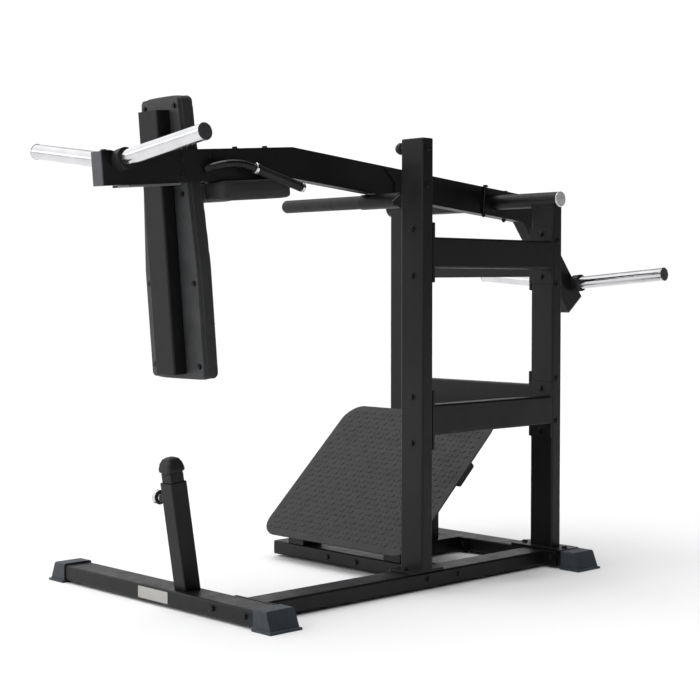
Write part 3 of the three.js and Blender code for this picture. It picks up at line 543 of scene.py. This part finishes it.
def sleeve_root():
    rear_bend = (PIVOT[0] + 188.3 * math.cos(DROP), PIVOT[1] - 188.3 * math.sin(DROP))
    slope = math.radians(51)
    x = rear_bend[0] + 396 * math.cos(slope) + 46 * math.sin(slope)
    z = rear_bend[1] - 396 * math.sin(slope) + 46 * math.cos(slope)
    return x, z, 4.6, 420


def rounded_cap(name, low, high, body, material):
    """A low plug with a raised, bevelled middle that closes a rectangular tube's end."""
    bm = bmesh.new()
    levels = ((0.0032, -0.012), (0.0032, 0.0), (0.0004, 0.0002), (0.0006, 0.0022), (0.0030, 0.0040), (0.0100, 0.0046))
    rows = []
    for inset, height in levels:
        corner = max(0.007 - inset, 0.0025)
        x0, x1, y0, y1 = low.x + inset, high.x - inset, low.y + inset, high.y - inset
        row = []
        for cx, cy, a0 in ((x1, y1, 0), (x0, y1, 90), (x0, y0, 180), (x1, y0, 270)):
            sx = -1 if cx == x1 else 1
            sy = -1 if cy == y1 else 1
            for k in range(6):
                a = math.radians(a0 + 90 * k / 5)
                row.append(bm.verts.new((cx + sx * corner + corner * math.cos(a), cy + sy * corner + corner * math.sin(a), low.z + height)))
        rows.append(row)
    for a, b in zip(rows, rows[1:]):
        for k in range(len(a)):
            n = (k + 1) % len(a)
            bm.faces.new((a[k], a[n], b[n], b[k]))
    bm.faces.new(rows[-1])
    bm.faces.new(list(reversed(rows[0])))
    return finish_mesh(name, bm, body, material)


# ------------------------------------------------------------------ handles, collars, badge
def handle_trims():
    for side, s in (("near", -1), ("far", 1)):
        low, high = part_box("handle_grip_" + side)
        start = Vector((low.x + 0.0145, s * 0.225 + at(0, 0, 0).y, high.z - 0.0178))
        end = at(453, s * 225, 1311)
        first = at(258, s * 225, 1362)
        aim = (end - first).normalized()
        bm = bmesh.new()
        ring = [(0.0128, 0.0), (0.0172, 0.0), (0.0184, 0.0012), (0.0184, 0.0098), (0.0172, 0.0110), (0.0128, 0.0110), (0.0128, 0.0)]
        revolve(bm, ring, 32, frame_matrix(first + aim * 0.0020, aim))
        finish_mesh("handle_ring_" + side, bm, "arm", EXTRA["polished"])
        bm = bmesh.new()
        tip = [(0, 0.0), (0.0150, 0.0), (0.0156, 0.0010), (0.0156, 0.0078), (0.0138, 0.0104), (0.0060, 0.0116), (0, 0.0118)]
        revolve(bm, tip, 32, frame_matrix(end + aim * 0.0012, aim))
        finish_mesh("handle_tip_" + side, bm, "arm", EXTRA["polished"])


def make_badge():
    """A blank brushed plate with rounded corners, on the front foot."""
    low, high = at(-1.2, -116, 14), at(0, 39, 51)
    bm = bmesh.new()
    rows = []
    for inset, x in ((0.0, high.x - 0.0), (0.0, low.x + 0.0004), (0.0006, low.x)):
        row = []
        corner = 0.003 - inset
        for cy, cz, a0 in ((high.y - inset, high.z - inset, 0), (low.y + inset, high.z - inset, 90),
                           (low.y + inset, low.z + inset, 180), (high.y - inset, low.z + inset, 270)):
            sy = -1 if a0 in (0, 270) else 1
            sz = -1 if a0 in (0, 90) else 1
            for k in range(5):
                a = math.radians(a0 + 90 * k / 4)
                row.append(bm.verts.new((x, cy + sy * corner + corner * math.cos(a), cz + sz * corner + corner * math.sin(a))))
        rows.append(row)
    for a, b in zip(rows, rows[1:]):
        for k in range(len(a)):
            n = (k + 1) % len(a)
            bm.faces.new((a[k], a[n], b[n], b[k]))
    bm.faces.new(rows[-1])
    bm.faces.new(list(reversed(rows[0])))
    finish_mesh("front_badge", bm, "frame", EXTRA["badge"])


# ------------------------------------------------------------------ raised diamonds of the platform
RAMP_ANGLE = math.radians(43.3)
RAMP_LENGTH, RAMP_HALF, RAMP_CORNER = 643.0, 380.0, 76.0


def ramp_matrix():
    turn = Matrix.Rotation(-RAMP_ANGLE, 4, "Y")
    return Matrix.Translation(at(783, 0, 95)) @ turn


def inside_ramp(u, v, margin):
    if not (margin < u < RAMP_LENGTH - margin and abs(v) < RAMP_HALF - margin):
        return False
    du = max(RAMP_CORNER - u, u - (RAMP_LENGTH - RAMP_CORNER), 0)
    dv = max(abs(v) - (RAMP_HALF - RAMP_CORNER), 0)
    if math.hypot(du, dv) > RAMP_CORNER - margin:
        return False
    x = 783 + u * math.cos(RAMP_ANGLE)
    return not (x < 840 and v < -345)


def tread():
    """Lozenges in alternating directions, each a low rounded ridge pressed up out of the sheet."""
    bm = bmesh.new()
    matrix = ramp_matrix()
    pitch = 23.0
    outline = ((1.0, 0.0), (0.62, 0.42), (0.0, 0.62), (-0.62, 0.42), (-1.0, 0.0), (-0.62, -0.42), (0.0, -0.62), (0.62, -0.42))
    long_half, wide_half, tall = 10.5, 5.6, 1.5
    rows = int(RAMP_LENGTH / pitch) + 1
    columns = int(RAMP_HALF / pitch) + 1
    for i in range(rows):
        for j in range(-columns, columns + 1):
            u, v = (i + 0.5) * pitch, j * pitch
            if not inside_ramp(u, v, 12.0):
                continue
            turn = math.radians(45 if (i + j) % 2 else -45)
            c, s = math.cos(turn), math.sin(turn)

            def vert(a, b, h):
                a, b = a * long_half, b * wide_half
                return bm.verts.new(matrix @ Vector(((u + a * c - b * s) * MM, (v + a * s + b * c) * MM, h * MM)))

            foot = [vert(a, b, -0.05) for a, b in outline]
            brow = [vert(a * 0.74, b * 0.62, tall * 0.8) for a, b in outline]
            crest = [vert(0.36, 0, tall), vert(-0.36, 0, tall)]
            for k in range(8):
                n = (k + 1) % 8
                bm.faces.new((foot[k], foot[n], brow[n], brow[k]))
            bm.faces.new((brow[0], brow[1], crest[0]))
            bm.faces.new((brow[1], brow[2], crest[0]))
            bm.faces.new((brow[2], brow[3], crest[1], crest[0]))
            bm.faces.new((brow[3], brow[4], crest[1]))
            bm.faces.new((brow[4], brow[5], crest[1]))
            bm.faces.new((brow[5], brow[6], crest[1]))
            bm.faces.new((brow[6], brow[7], crest[0], crest[1]))
            bm.faces.new((brow[7], brow[0], crest[0]))
            bm.faces.new(list(reversed(foot)))
    finish_mesh("platform_tread", bm, "frame", MATERIALS["tread_plate"], 60.0)


# ------------------------------------------------------------------ padding
PAD_ORIGIN = at(47, 0, 1125)
PAD_TURN = Matrix.Rotation(-RISE, 4, "Y")
PAD_FRAME = Matrix.Translation(PAD_ORIGIN) @ PAD_TURN


def swell(name, node, local, held, shrink, cap, slot, voxel=0.006):
    """A cushion from its CAD solid: a smaller copy, remeshed, blown up as cloth against its board.

    local is the pad's own frame, held the (axis, side) of its fixed face in it, and shrink how much
    smaller it starts on each axis."""
    source = frame["nodes"][node]
    mesh = source.data.copy()
    obj = bpy.data.objects.new(name, mesh)
    SCENE.collection.objects.link(obj)
    into = local.inverted()
    points = [into @ v.co for v in mesh.vertices]
    low = [min(p[k] for p in points) for k in range(3)]
    high = [max(p[k] for p in points) for k in range(3)]
    axis, side = held
    for v, p in zip(mesh.vertices, points):
        for k in range(3):
            middle = (low[k] + high[k]) / 2
            half = (high[k] - low[k]) / 2
            if k == axis:
                fixed = low[k] if side < 0 else high[k]
                p[k] = fixed + (p[k] - fixed) * (1 - shrink[k] / (2 * half))
            else:
                p[k] = middle + (p[k] - middle) * (1 - shrink[k] / half)
        v.co = p
    mesh.materials.clear()
    bm = bmesh.new()
    bm.from_mesh(mesh)
    fixed = low[axis] if side < 0 else high[axis]
    rim = [e for e in bm.edges if len(e.link_faces) == 2 and e.calc_face_angle(0) > 0.9
           and all(abs(v.co[axis] - fixed) > 0.004 for v in e.verts)]
    bmesh.ops.dissolve_limit(bm, angle_limit=0.01, verts=bm.verts, edges=bm.edges)
    rim = [e for e in bm.edges if len(e.link_faces) == 2 and e.calc_face_angle(0) > 0.9
           and all(abs(v.co[axis] - fixed) > 0.004 for v in e.verts)]
    bmesh.ops.bevel(bm, geom=rim, offset=0.005, segments=3, profile=0.5, affect="EDGES")
    bm.to_mesh(mesh)
    bm.free()
    bpy.context.view_layer.objects.active = obj
    for other in bpy.context.selected_objects:
        other.select_set(False)
    obj.select_set(True)
    remesh = obj.modifiers.new("remesh", "REMESH")
    remesh.mode = "VOXEL"
    remesh.voxel_size = voxel
    bpy.ops.object.modifier_apply(modifier="remesh")
    start = [v.co.copy() for v in obj.data.vertices]
    pins = obj.vertex_groups.new(name="held")
    near = [v.index for v in obj.data.vertices if abs(v.co[axis] - fixed) < voxel * 0.9]
    pins.add(near, 1.0, "REPLACE")
    cloth = obj.modifiers.new("cloth", "CLOTH")
    cloth.settings.use_pressure = True
    cloth.settings.uniform_pressure_force = 7.0
    cloth.settings.effector_weights.gravity = 0.0
    cloth.settings.tension_stiffness = 40.0
    cloth.settings.compression_stiffness = 40.0
    cloth.settings.shear_stiffness = 20.0
    cloth.settings.bending_stiffness = 2.0
    cloth.settings.vertex_group_mass = "held"
    cloth.point_cache.frame_start = 1
    cloth.point_cache.frame_end = 20
    for number in range(1, 21):
        SCENE.frame_set(number)
    bpy.ops.object.modifier_apply(modifier="cloth")
    SCENE.frame_set(1)
    allowed = [0.0015, 0.0015, 0.0015]
    for v, rest in zip(obj.data.vertices, start):
        move = v.co - rest
        if move.length > cap:
            move *= cap / move.length
        for k in range(3):
            if move[k] * (rest[k] - (low[k] + high[k]) / 2) < 0:
                move[k] *= 0.15
        v.co = rest + move
        for k in range(3):
            v.co[k] = min(max(v.co[k], low[k] - allowed[k]), high[k] + allowed[k])
        if side < 0:
            v.co[axis] = max(v.co[axis], fixed)
        else:
            v.co[axis] = min(v.co[axis], fixed)
    obj.data.transform(local)
    obj.data.update()
    smooth_round(obj, 60)
    relax = obj.modifiers.new("relax", "CORRECTIVE_SMOOTH")
    relax.iterations = 2
    relax.smooth_type = "LENGTH_WEIGHTED"
    relax.use_only_smooth = True
    smoother = obj.modifiers.new("subdivide", "SUBSURF")
    smoother.levels = 1
    smoother.render_levels = 1
    obj.data.materials.append(MATERIALS[slot])
    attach(obj, "arm")
    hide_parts(node)
    return obj


def surface_of(obj):
    graph = bpy.context.evaluated_depsgraph_get()
    bpy.context.view_layer.update()
    return BVHTree.FromObject(obj.evaluated_get(graph), graph)


def seam(name, obj, path, body, radius=0.0011, stitch=0.0065):
    """A sewn seam: a fine welt that lies on the pad, with stitches beside it."""
    tree = surface_of(obj)
    on = [tree.find_nearest(p) for p in path]
    on = [(hit[0], hit[1]) for hit in on if hit[0] is not None]
    bm = bmesh.new()
    rings = []
    count = len(on)
    for k, (point, normal) in enumerate(on):
        ahead = (on[(k + 1) % count][0] - on[k - 1][0]).normalized()
        across = normal.cross(ahead).normalized()
        row = []
        for a in range(8):
            angle = math.tau * a / 8
            row.append(bm.verts.new(point + across * radius * math.cos(angle) + normal * (radius * math.sin(angle) + radius * 0.2)))
        rings.append(row)
    for k in range(count):
        first, second = rings[k], rings[(k + 1) % count]
        for a in range(8):
            n = (a + 1) % 8
            bm.faces.new((first[a], first[n], second[n], second[a]))
    total = 0.0
    last = 0.0
    for k in range(count):
        point, normal = on[k]
        nxt = on[(k + 1) % count][0]
        step = (nxt - point).length
        total += step
        if total - last < stitch or step < 1e-6:
            continue
        last = total
        ahead = (nxt - point).normalized()
        across = normal.cross(ahead).normalized()
        for side in (-1, 1):
            m = frame_matrix(point + across * side * radius * 2.6 - ahead * stitch * 0.30, ahead)
            profile = [(0, 0), (0.00035, 0.0003), (0.00050, stitch * 0.3), (0.00035, stitch * 0.6), (0, stitch * 0.62)]
            revolve(bm, profile, 6, m)
    return finish_mesh(name, bm, body, EXTRA["thread"], 80)


def pad_loop(inset, depth):
    """A closed line round the back pad's face, inset from its edge, as points of the row frame."""
    low, high, taper = -432 + inset, 456 - inset, -85
    wide, narrow, corner = 140 - inset, 100 - inset, 22
    corners = [(-wide, low), (wide, low), (wide, taper), (narrow, high), (-narrow, high), (-wide, taper)]
    return dense_loop(corners, corner, lambda a, b: PAD_FRAME @ Vector((depth * MM, a * MM, b * MM)))


def dense_loop(corners, corner, place, step=3.0):
    """Points every few millimetres round a polygon with rounded corners."""
    points = []
    count = len(corners)
    for k in range(count):
        before, here, after = (Vector(corners[k - 1]), Vector(corners[k]), Vector(corners[(k + 1) % count]))
        into, out = (here - before).normalized(), (after - here).normalized()
        start, end = here - into * corner, here + out * corner
        steps = 10
        for i in range(steps + 1):
            t = i / steps
            points.append(start * (1 - t) ** 2 + here * 2 * t * (1 - t) + end * t * t)
        leave = after - out * corner
        length = (leave - end).length
        pieces = max(int(length / step), 1)
        for i in range(1, pieces):
            points.append(end.lerp(leave, i / pieces))
    return [place(p.x, p.y) for p in points]


def make_pads():
    back = swell("back_cushion", "back_pad", PAD_FRAME, (0, -1), (0.002, 0.001, 0.001), 0.006, "vinyl", 0.005)
    seam("back_cushion_seam", back, pad_loop(13, 112), "arm")
    seam("back_cushion_side_seam", back, pad_loop(0, 100), "arm", 0.0009)
    for side, s in (("near", -1), ("far", 1)):
        low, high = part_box("shoulder_pad_" + side)
        (ox, oz), _ = front_line(0, 0)
        middle_y = (low.y + high.y) / 2
        # the pad's own frame: +X along the arm, +Z out of its top, origin at its lower front corner
        origin = Vector((low.x, middle_y, low.z))
        local = Matrix.Translation(origin) @ Matrix.Rotation(-RISE, 4, "Y")
        pad = swell("shoulder_cushion_" + side, "shoulder_pad_" + side, local, (2, 1), (0.001, 0.001, 0.002), 0.006, "vinyl", 0.005)
        inner = [local.inverted() @ v.co for v in frame["nodes"]["shoulder_pad_" + side].data.vertices]
        x0, x1 = min(p.x for p in inner) * 1000, max(p.x for p in inner) * 1000
        y0, y1 = min(p.y for p in inner) * 1000, max(p.y for p in inner) * 1000
        z0 = min(p.z for p in inner) * 1000
        corners = [(x0 + 11, y0 + 11), (x1 - 11, y0 + 11), (x1 - 11, y1 - 11), (x0 + 11, y1 - 11)]
        loop = dense_loop(corners, 18, lambda a, b: local @ Vector((a * MM, b * MM, (z0 - 2) * MM)))
        seam("shoulder_cushion_seam_" + side, pad, loop, "arm")


# ------------------------------------------------------------------ the scene
SCENE.view_settings.view_transform = "Standard"
SCENE.view_settings.look = "None"
make_camera()
make_world()
make_floor()
make_sun()
area_light("front_softbox", (-3.6, 0.8, 1.6), (0.0, 0.0, 0.7), 2.2, 9.0)
dress_nodes()
frame_bolts()
arm_bolts()
board_bolts()
end_plugs()
handle_trims()
make_badge()
tread()
make_pads()
